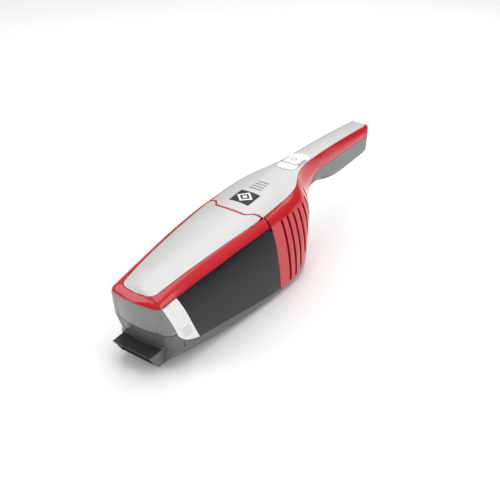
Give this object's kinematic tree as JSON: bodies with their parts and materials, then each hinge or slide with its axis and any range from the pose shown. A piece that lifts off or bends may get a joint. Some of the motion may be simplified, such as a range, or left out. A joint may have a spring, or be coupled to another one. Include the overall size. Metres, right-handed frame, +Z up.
{
  "type": "handheld vacuum",
  "caption": "Battery handheld vacuum with a wedge nozzle, smoked dust cup, vented motor body and straight handle; cup, filter, flap, release and power buttons move.",
  "frame": {"origin": "centre of the bounding box's footprint, on the surface the vacuum stands on", "axes": "+Y from the nozzle to the handle's end, +Z up, +X to the vacuum's left as seen from behind the handle; mirrored about X = 0"},
  "size_m": [0.094, 0.43, 0.1054],
  "materials": {
    "red_gloss": "glossy red",
    "pale_silver": "pale silver satin, brushed across",
    "smoke_window": "near-black smoked, satin gloss",
    "white_plastic": "white satin",
    "grey_plastic": "grey satin",
    "light_grey": "light grey satin",
    "grip_grey": "grey soft touch",
    "charcoal": "charcoal satin",
    "rubber": "matt black",
    "filter_paper": "pleated filter paper",
    "foam": "open foam",
    "steel": "plain steel",
    "motor_metal": "plain",
    "circuit_green": "green board",
    "cell_wrap": "blue sleeve",
    "dark_badge": "dark gloss",
    "lamp": "dark lens"
  },
  "bodies": {
    "motor_body": {"shell_left": "red_gloss", "shell_right": "red_gloss", "rear_panel": "pale_silver", "handle_grip": "grip_grey", "base_cover": "grey_plastic", "base_feet": "rubber", "base_screws": "steel", "badge": "dark_badge", "panel_ribs": "light_grey", "power_plate": "white_plastic", "charge_light": "lamp", "power_switch": "charcoal", "button_spring": "steel", "circuit_board": "circuit_green", "charge_socket": "charcoal", "bulkhead": "charcoal", "fan_housing": "charcoal", "motor_can": "motor_metal", "motor_ring": "steel", "battery_cells": "cell_wrap", "exhaust_foam_left": "foam", "exhaust_foam_right": "foam"},
    "dust_cup": {"dust_container": "smoke_window", "front_rim": "red_gloss", "front_panel": "pale_silver", "front_bumper": "light_grey", "lower_shell": "grey_plastic", "nozzle_plate": "charcoal", "cup_seal": "rubber", "cup_feet": "rubber", "flap_pin": "steel", "release_spring_left": "steel", "release_spring_right": "steel"},
    "filter": {"filter_frame": "light_grey", "filter_pleats": "filter_paper", "filter_cage": "grey_plastic"},
    "fan": {"impeller": "charcoal", "motor_shaft": "steel"},
    "flap": {"inlet_flap": "rubber"},
    "power_key": {"power_button": "white_plastic"},
    "release_right": {"release_button_right": "white_plastic"},
    "release_left": {"release_button_left": "white_plastic"}
  },
  "joints": [
    {"name": "cup_slide", "type": "slide", "parent": "motor_body", "child": "dust_cup", "axis": [0, -1, 0], "range_m": [0, 0.12]},
    {"name": "filter_slide", "type": "slide", "parent": "motor_body", "child": "filter", "axis": [0, -1, 0], "range_m": [0, 0.02]},
    {"name": "fan_spin", "type": "hinge", "parent": "motor_body", "child": "fan", "pos_m": [0, -0.03, 0.047], "axis": [0, 1, 0], "continuous": true},
    {"name": "flap_hinge", "type": "hinge", "parent": "dust_cup", "child": "flap", "pos_m": [0, -0.1764, 0.0273], "axis": [1, 0, 0], "range_deg": [0, 60]},
    {"name": "power_press", "type": "slide", "parent": "motor_body", "child": "power_key", "axis": [0, 0, -1], "range_m": [0, 0.0015], "stiffness_N_per_m": 800, "springref_m": -0.0006, "deforming": ["button_spring"]},
    {"name": "release_right_press", "type": "slide", "parent": "dust_cup", "child": "release_right", "axis": [-1, 0, 0], "range_m": [0, 0.0018], "stiffness_N_per_m": 700, "springref_m": -0.0006, "deforming": ["release_spring_right"]},
    {"name": "release_left_press", "type": "slide", "parent": "dust_cup", "child": "release_left", "axis": [1, 0, 0], "range_m": [0, 0.0018], "stiffness_N_per_m": 700, "springref_m": -0.0006, "deforming": ["release_spring_left"]}
  ]
}
